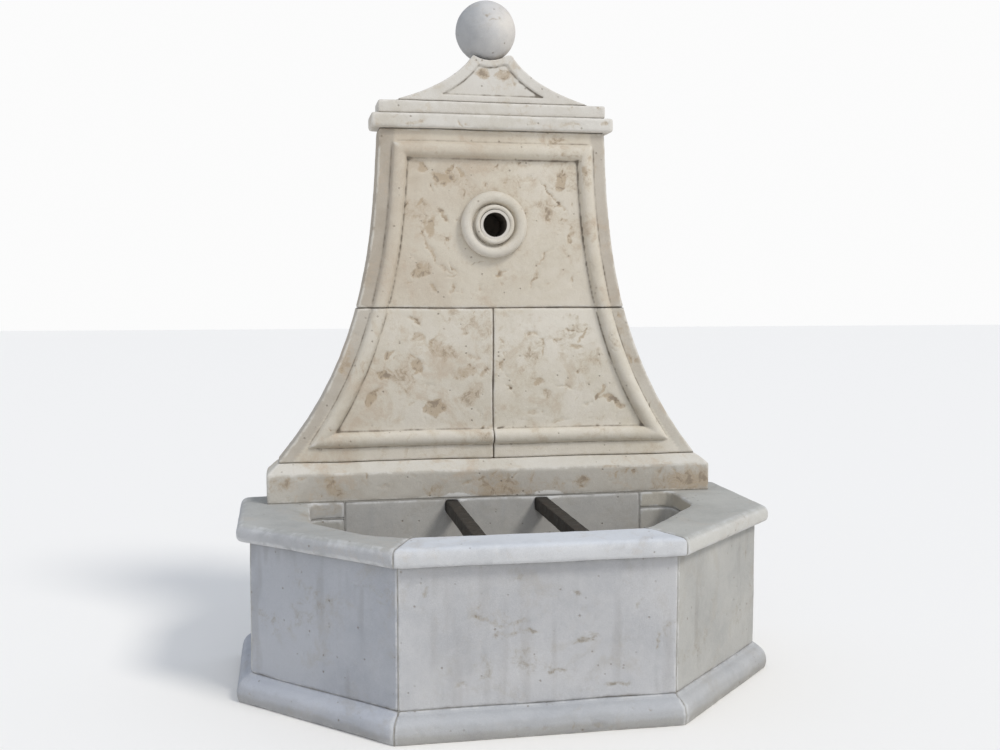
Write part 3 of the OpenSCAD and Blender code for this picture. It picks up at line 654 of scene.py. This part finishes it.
LOWER_STROKES = [
    (-250, -40, 48, 18, -35, 1.4, 0.6), (-236, -85, 44, 32, 10, 0.8, 0.6),
    (-330, -142, 30, 12, 52, 1.3, 0.55), (-347, -203, 34, 16, -20, 1.2, 0.55),
    (-236, -178, 62, 20, -60, 1.7, 0.75), (-378, -271, 60, 26, 56, 1.5, 0.8),
    (-182, -307, 66, 44, 20, 0.8, 0.8), (-90, -196, 78, 42, 15, 0.6, 0.6),
    (-31, -205, 38, 24, 70, 1.0, 0.6), (-70, -268, 100, 64, 40, 0.5, 0.5),
    (-60, -150, 40, 22, 0, 0.7, 0.45), (125, -76, 48, 12, -14, 1.3, 0.45),
    (160, -104, 30, 8, -60, 1.2, 0.4), (285, -86, 42, 13, 48, 1.3, 0.5),
    (250, -76, 34, 8, 0, 1.1, 0.4), (28, -182, 32, 9, -70, 1.2, 0.5),
    (54, -249, 42, 8, -58, 1.4, 0.55), (147, -232, 40, 22, 20, 0.9, 0.5),
    (231, -243, 60, 5, 0, 1.5, 0.55), (170, -268, 44, 20, 0, 0.7, 0.4),
    (274, -203, 10, 8, 0, 1.2, 0.6), (350, -268, 54, 14, 60, 1.4, 0.7),
    (392, -298, 78, 20, -28, 1.6, 0.85), (302, -307, 34, 14, 30, 1.2, 0.5),
    (125, -330, 34, 16, 0, 0.9, 0.45), (215, -354, 60, 9, 8, 1.0, 0.4),
]
CORNICE_STROKES = [
    (-103, -18, 34, 9, -55, 1.6, 0.7), (-250, -8, 70, 22, 12, 0.5, 0.5),
    (120, 2, 60, 16, -8, 0.5, 0.4), (240, -4, 70, 14, 6, 0.8, 0.4), (350, 4, 26, 14, 60, 1.0, 0.5),
]
GABLE_STROKES = [
    (-32, 0, 52, 34, 8, 0.5, 0.7), (30, -4, 50, 34, -6, 0.5, 0.7), (70, -30, 60, 12, 10, 0.5, 0.4),
]


def plain_stone(surface, node, seed):
    """Nothing but waves and wear."""


BORDER = (0.052, 0.040)     # the flat border ends this far in from the outline
BIN = 0.010                 # height of one row in which the outline is found


def shade_border(surface, foot):
    """Darkens the border outside the bead, found from the outline at each height."""
    p = surface.points
    row = np.floor((p[:, 2] - foot) / BIN).astype(int)
    row -= row.min()
    outline = np.zeros(row.max() + 1)
    np.maximum.at(outline, row, np.abs(p[:, 0]))
    surface.shade(step(outline[row] - np.abs(p[:, 0]), *BORDER), (0.79, 0.795, 0.81))


def make_upper_panel(surface, node, seed):
    centre = (SPOUT_AT[0], SPOUT_AT[2])
    strike(surface, UPPER_STROKES, centre, seed)
    strike(surface, scatter(80, 320, (-240, 230), seed), centre, seed + 20)
    strike(surface, clouds(16, 300, (-240, 230), seed + 1), centre, seed + 21)
    low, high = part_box(node)
    dirty_seam(surface, 2, low.z)
    p = surface.points
    strip = step(p[:, 2], high.z - 0.045, high.z - 0.02) * step(np.abs(p[:, 0]), 0.32, 0.2)
    surface.mark("stain", 0.45 * strip * (0.5 + 0.5 * smooth_noise(p, 0.12, seed)))
    surface.shade(step(p[:, 0], 0.15, -0.25), (0.91, 0.90, 0.89))
    shade_border(surface, low.z)


def make_lower_panel(surface, node, seed):
    low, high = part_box(node)
    strike(surface, LOWER_STROKES, (0, JOINT_Z), seed)
    strike(surface, scatter(75, 560, (-450, -10), seed), (0, JOINT_Z), seed + 20)
    strike(surface, clouds(20, 500, (-420, -20), seed + 1), (0, JOINT_Z), seed + 21)
    dirty_seam(surface, 2, high.z)
    dirty_seam(surface, 0, high.x if high.x < 0.1 else low.x)
    shade_border(surface, low.z)


PLINTH_STAIN = 0.75


def make_plinth(surface, node, seed):
    low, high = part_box(node)
    middle = (0, (low.z + high.z) / 2)
    strike(surface, scatter(60, 680, (-55, 55), seed), middle, seed + 20)
    strike(surface, clouds(14, 680, (-50, 30), seed + 1), middle, seed + 21)
    p = surface.points
    below_top = step(p[:, 2], high.z - 0.02, high.z - 0.05)
    blotches = step(rough_noise(p, 0.13, seed + 30), -0.1, 0.6) * below_top
    surface.mark("stain", 0.5 * blotches)
    surface.marks["stain"] *= PLINTH_STAIN
    surface.shade(blotches, (0.93, 0.93, 0.94))
    # Painted sky light: faces that look up are brighter.
    top = step(surface.normals()[:, 2], 0.4, 0.8)
    surface.shade(top, (1.2, 1.2, 1.2))
    smear_lime(surface)


def make_cornice(surface, node, seed):
    low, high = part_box(node)
    middle = (0, (low.z + high.z) / 2)
    strokes = CORNICE_STROKES if node == "cornice_slab" else []
    strike(surface, strokes + scatter(12, 350, (-18, 18), seed), middle, seed + 20)


FIELD_HEIGHT = 0.087      # from the pediment's bed to the middle of its field


def make_pediment(surface, node, seed):
    strike(surface, GABLE_STROKES, (0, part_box(node)[0].z + FIELD_HEIGHT), seed)


# Painted light on the coping tops: brighter and bluer on the front, as lit by the sky, and darker on
# the sides; the left's darker tan is partly painted shade of the backboard and partly stain.
COPING_TOP_LIGHT_AND_STAIN = {
    "coping_front": (1.13, 1.16, 1.20),
    "coping_left": (0.93, 0.92, 0.86),
    "coping_right": (0.83, 0.84, 0.84),
}
COPING_BOWL = (0.98, 0.94, 0.86)


def stain_bowl(surface, colour):
    """Tints the faces that look into the bowl."""
    inside = step(outside_line(surface.points, corner_line(RIM_OFFSETS)), 0.006, -0.002)
    surface.shade(inside * step(surface.normals()[:, 2], 0.8, 0.5), colour)


def make_coping(surface, node, seed):
    slope_rim(surface)
    stain_bowl(surface, COPING_BOWL)
    # Painted light and shade on the up-facing tops, as listed above.
    surface.shade(step(surface.normals()[:, 2], 0.5, 0.9), COPING_TOP_LIGHT_AND_STAIN[node])


def smear_lime(surface):
    """Lime smeared over the back ends of the bars."""
    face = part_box("backboard_plinth")[0].y
    for bar in ("bar_left", "bar_right"):
        low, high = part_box(bar)
        p = surface.points
        across = (p[:, 0] - (low.x + high.x) / 2 - 0.02) / 0.07
        up = (p[:, 2] - high.z - 0.008) / 0.022
        near_face = step(p[:, 1], face + 0.03, face + 0.01)
        surface.mark("lime", 0.9 * step(np.hypot(across, up), 1.2, 0.3) * near_face)


def make_back(surface, node, seed):
    smear_lime(surface)


BALL_AT = np.array((-0.004, 0, -0.003))     # the ball was set a little down and to the left
BALL_SCALE = 0.97


def make_ball(surface, node, seed):
    """Darker and cooler on one side, brighter and warmer on the other."""
    low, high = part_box(node)
    p = surface.points
    side = (p[:, 0] - (low.x + high.x) / 2) / (high.x - low.x) * 2
    side = side + 0.35 * rough_noise(p, 0.06, seed)
    middle = np.array(low + high) / 2
    strike(surface, scatter(26, 90, (-90, 90), seed), (middle[0], middle[2]), seed)
    surface.points = BALL_AT + BALL_SCALE * (p - middle) + middle
    # Darker and cooler on the left, brighter and warmer on the right.
    surface.shade(step(side, 0.3, -0.7), (0.72, 0.74, 0.77))
    surface.shade(step(side, 0.0, 0.8), (1.2, 1.15, 1.08))


def make_base(surface, node, seed):
    """Painted sky light on top, darker and warmer towards the ground."""
    p = surface.points
    ragged = 0.008 * rough_noise(p, 0.05, seed + 1)
    # Painted highlight: the top is brighter and bluer, as lit by the sky.
    surface.shade(step(p[:, 2] + ragged, 0.038, 0.052), (1.10, 1.11, 1.13))
    # Darker and warmer towards the ground.
    surface.shade(step(p[:, 2] + ragged, 0.034, 0.018), (0.86, 0.84, 0.80))
    low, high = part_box(node)
    half = 500 * (high.x - low.x)
    strike(surface, scatter(16, half, (-30, 30), seed), ((low.x + high.x) / 2, 0.04), seed + 20)
    patchy = np.clip(rough_noise(p, 0.05, seed + 3), 0, 1)
    surface.mark("grime_and_shade", 0.5 * patchy * np.exp(-(high.z - p[:, 2]) / 0.006))


WALL_MIDDLE = (0.09, 0.07, 0.09, 0.09)          # offsets that part outer faces from inner ones
BOWL_STAIN = (0.86, 0.83, 0.77)
WALL_STAIN = 0.75         # the basin takes fainter stains than the backboard
WALL_STROKES = [
    (-160, 44, 30, 7, -40, 0.7, 0.45), (-130, 30, 70, 9, -30, 0.5, 0.4),
    (-60, 24, 60, 12, 14, 0.5, 0.4), (-90, -2, 90, 10, 8, 0.4, 0.35),
    (-20, 6, 40, 7, -12, 0.5, 0.35), (120, -30, 70, 10, 12, 0.5, 0.35),
    (150, -16, 36, 7, -20, 0.4, 0.3), (-210, -128, 20, 8, 0, 0.6, 0.5),
    (40, -110, 46, 8, 4, 0.4, 0.35), (-300, 120, 26, 8, 70, 0.4, 0.4),
    (262, 60, 30, 8, 60, 0.4, 0.35), (318, -40, 40, 8, 80, 0.4, 0.4),
    (210, -150, 60, 8, 3, 0.4, 0.35), (-60, 150, 26, 7, 20, 0.3, 0.35),
    (90, 96, 26, 6, -30, 0.3, 0.3),
]
WALL_LONGER, WALL_WIDER, WALL_DEEPER = 1.25, 1.8, 1.5     # factors on all of them
WALL_DARKER, WALL_DARKEST = 0.25, 0.8                     # added to their stain, and its limit
CANT_FACING = {"wall_cant_left": (-0.7, -0.7, 0), "wall_cant_right": (0.7, -0.7, 0)}
FRONT_FACING = (0, -1, 0)


def wall_strokes():
    """The front wall's marks, enlarged and darkened from WALL_STROKES."""
    return [(
        x, z, WALL_LONGER * length, WALL_WIDER * width, angle, WALL_DEEPER * depth,
        min(WALL_DARKEST, stain + WALL_DARKER),
    ) for x, z, length, width, angle, depth, stain in WALL_STROKES]


def make_wall(surface, node, seed):
    """Splash dirt above the base, a few specks, and painted shadow under the coping."""
    low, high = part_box(node)
    p = surface.points
    splash = step(p[:, 2], low.z + 0.06, low.z) * (0.6 + 0.4 * rough_noise(p, 0.05, seed + 2))
    surface.mark("stain", 0.3 * splash)
    outer = step(outside_line(p, corner_line(WALL_MIDDLE)), -0.02, 0.02)
    patchy = np.clip(0.55 + 0.8 * rough_noise(p, 0.06, seed + 3), 0, 1)
    surface.mark("grime_and_shade", 0.8 * patchy * outer * np.exp(-(p[:, 2] - low.z) / 0.006))
    middle = ((low.x + high.x) / 2, (low.z + high.z) / 2)
    facing = CANT_FACING.get(node, FRONT_FACING)
    half = 500 * (high.x - low.x)
    strokes = wall_strokes() if node == "wall_front" else scatter(12, half, (-170, 170), seed)
    strike(surface, strokes + clouds(5, half, (-150, 150), seed + 1), middle, seed + 20, facing)
    surface.marks["stain"] *= WALL_STAIN
    surface.shade(0.5 + 0.5 * smooth_noise(p, 0.22, seed + 6), (0.88, 0.875, 0.87))
    down = np.column_stack((p[:, 0], p[:, 1], 0.15 * p[:, 2]))
    surface.shade(step(rough_noise(down, 0.035, seed + 9), 0.15, 0.6), (0.90, 0.89, 0.88))
    stain_bowl(surface, BOWL_STAIN)
    # Painted shadow under the coping's overhang, along the top of the outer faces.
    surface.mark("grime_and_shade", 0.45 * outer * np.exp(-(high.z - p[:, 2]) / 0.008))


# Each stone: face size in metres, material, arris wear, wear passes, chips, tint (its own tone with
# painted light and shade in it, such as the darker, cooler left cant and the brighter right return),
# its own marks
STONES = {
    "base_front": (0.0036, "basin", 0.7, 6, 0.6, (0.75, 0.755, 0.77), make_base),
    "base_left": (0.0045, "basin", 0.7, 5, 0.6, (0.80, 0.82, 0.88), make_base),
    "base_right": (0.0045, "basin", 0.7, 5, 0.6, (0.74, 0.735, 0.73), make_base),
    "wall_front": (0.0036, "basin", 0.4, 4, 0.7, (0.97, 0.97, 0.99), make_wall),
    "wall_cant_left": (0.0036, "basin", 0.4, 4, 0.7, (0.82, 0.845, 0.91), make_wall),
    "wall_cant_right": (0.0036, "basin", 0.4, 4, 0.7, (0.85, 0.835, 0.79), make_wall),
    "wall_return_left": (0.0045, "basin", 0.4, 4, 0.7, (0.97, 0.97, 0.96), make_wall),
    "wall_return_right": (0.0045, "basin", 0.4, 4, 0.7, (1.08, 1.07, 1.05), make_wall),
    "wall_back": (0.0040, "basin", 0.4, 4, 0.6, (0.84, 0.81, 0.76), make_back),
    "basin_floor": (0.0060, "basin", 0.4, 4, 0.5, (0.80, 0.78, 0.74), plain_stone),
    "coping_front": (0.0035, "coping", 0.9, 12, 0.5, (0.96, 0.96, 0.97), make_coping),
    "coping_left": (0.0035, "coping", 0.9, 12, 0.5, (0.78, 0.78, 0.79), make_coping),
    "coping_right": (0.0035, "coping", 0.8, 9, 0.5, (0.93, 0.90, 0.83), make_coping),
    "backboard_plinth": (0.0036, "backboard", 1.0, 10, 0.9, (0.79, 0.785, 0.77), make_plinth),
    "lower_panel_left": (0.0034, "backboard", 0.5, 4, 0.7, (0.98, 0.945, 0.89), make_lower_panel),
    "lower_panel_right": (0.0034, "backboard", 0.5, 4, 0.7, (1.06, 1.03, 0.97), make_lower_panel),
    "upper_panel": (0.0036, "backboard", 0.5, 4, 0.7, (0.98, 0.93, 0.86), make_upper_panel),
    "spout_rosette": (0.0018, "backboard", 0.3, 3, 0.3, (1.0, 0.97, 0.92), plain_stone),
    "cornice_slab": (0.0034, "backboard", 0.9, 9, 0.8, (1.0, 1.0, 1.0), make_cornice),
    "cornice_cap": (0.0034, "backboard", 0.9, 8, 0.8, (1.0, 1.0, 1.0), make_cornice),
    "pediment": (0.0026, "backboard", 0.7, 6, 0.6, (1.0, 1.0, 1.0), make_pediment),
    "ball_finial": (0.0030, "ball", 0.4, 4, 0.3, (1.0, 1.0, 1.0), make_ball),
}


def search_tree(node):
    """The CAD node's faces, for finding how near another stone is."""
    mesh = frame["nodes"][node].data
    return BVHTree.FromPolygons([v.co for v in mesh.vertices], [f.vertices for f in mesh.polygons])


JOINT_TREES = {node: search_tree(node) for node in STONES}


STONE_SEED, STONE_SEED_STEP = 100, 40


def make_stones(materials):
    """Each stone of the list: meshed, marked, worn, rolled and waved."""
    for number, (node, facts) in enumerate(STONES.items()):
        cell, finish, wear, passes, chips, tint_and_light, own_marks = facts
        seed = STONE_SEED + STONE_SEED_STEP * number
        piece = even_mesh(node, cell)
        surface = Surface(piece, cell)
        surface.points = surface.relaxed(1, 0.4)
        # The tint brings painted light and shade in with the stone's own tone.
        surface.shade(1.0, tint_and_light)
        own_marks(surface, node, seed)
        wear_arrises(surface, node, seed, wear, passes, chips, CREASE_SHADE_AND_DIRT[finish])
        roll_faces(surface, seed, JOINT_GROWTH[finish])
        surface.points = warped(surface.points)
        surface.finish()
        piece.data.materials.append(materials[finish])
        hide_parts(node)
        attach(piece, "fountain")


# ---------------------------------------------------------------- iron bars

BAR_CELL = 0.0030
BAR_SEED, BAR_SEED_STEP = 900, 30


def make_bars(material):
    """Forged bars: soft arrises, hammered faces, a little scale."""
    for number, node in enumerate(("bar_left", "bar_right")):
        piece = even_mesh(node, BAR_CELL)
        surface = Surface(piece, BAR_CELL)
        seed = BAR_SEED + BAR_SEED_STEP * number
        wear_arrises(surface, node, seed, 0.8, 4, 0.2)
        normals = surface.normals()
        p = surface.points
        hammered = 0.0012 * (0.5 + 0.5 * smooth_noise(p, 0.03, seed))
        scale = 0.0006 * step(rough_noise(p, 0.012, seed + 5), 0.1, 0.5)
        surface.points -= (hammered + scale)[:, None] * normals
        surface.finish()
        piece.data.materials.append(material)
        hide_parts(node)
        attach(piece, "fountain")


# ---------------------------------------------------------------- build

def dress(nodes, material):
    """Gives a finish to CAD nodes that show as they are."""
    for node in nodes:
        mesh = frame["nodes"][node].data
        mesh.materials.clear()
        mesh.materials.append(material)


make_camera()
make_surroundings()
make_floor()

finishes = {
    "backboard": limestone("cream_limestone", (0.63, 0.60, 0.545), (0.52, 0.478, 0.415),
                           (0.46, 0.375, 0.285), 0.6, 0.08, 0.0),
    "basin": limestone("grey_limestone", (0.52, 0.52, 0.515), (0.43, 0.435, 0.44),
                       (0.33, 0.30, 0.255), 0.3, 0.28, 7.0),
    "coping": limestone("coping_limestone", (0.56, 0.565, 0.57), (0.46, 0.465, 0.47),
                        (0.43, 0.385, 0.33), 0.35, 0.0, 13.0),
    "ball": limestone("ball_limestone", (0.58, 0.565, 0.545), (0.47, 0.465, 0.465),
                      (0.42, 0.365, 0.30), 0.35, 0.0, 21.0),
}
make_stones(finishes)
make_bars(coarse("wrought_iron", ((0.018, 0.016, 0.013), (0.038, 0.032, 0.026)), 24,
                 (0.5, 0.8), 0.25, 0.0012, (0.06, 0.042, 0.03)))

plinth_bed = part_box("backboard_plinth")[0].z     # the mortar below it is pale
dark_mortar = coarse("dark_mortar", ((0.10, 0.078, 0.058), (0.19, 0.155, 0.12)), 40,
                     (0.9, 1.0), 0.0, 0.002, None, ("Z", plinth_bed, (0.44, 0.42, 0.38)))
dress(["backboard_mortar"], dark_mortar)
pale_mortar = coarse("pale_mortar", ((0.30, 0.285, 0.26), (0.42, 0.41, 0.385)), 40,
                     (0.9, 1.0), 0.0, 0.002)
dress(["basin_mortar"], pale_mortar)
LIP_DEPTH = 0.007                                # the collar's pale outer end
spout_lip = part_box("spout_sleeve")[0].y + LIP_DEPTH
# Painted shade: the bore is coloured near black where it lies in shadow; its outer end keeps a pale
# stone colour.
socket_shade = coarse("socket_painted_shade", ((0.07, 0.056, 0.042), (0.13, 0.108, 0.085)), 30,
                (0.7, 0.95), 0.0, 0.0015, None, ("Y", spout_lip, (0.62, 0.58, 0.52)))
dress(["spout_sleeve"], socket_shade)
fixings = coarse("fixing_brass", ((0.42, 0.30, 0.13), (0.30, 0.21, 0.10)), 60,
                 (0.35, 0.6), 1.0, 0.0004)
dress(["finial_dowel", "panel_dowels", "wall_cramps"], fixings)
tarnish = coarse("waste_brass", ((0.36, 0.26, 0.12), (0.22, 0.17, 0.09)), 45,
                 (0.35, 0.65), 1.0, 0.0004, (0.13, 0.16, 0.11))
dress(["waste_body", "waste_nut", "waste_plug"], tarnish)
rubber = coarse("seal_rubber", ((0.02, 0.02, 0.021), (0.035, 0.034, 0.033)), 70,
                (0.7, 0.9), 0.0, 0.0003)
dress(["waste_washer", "plug_seal"], rubber)
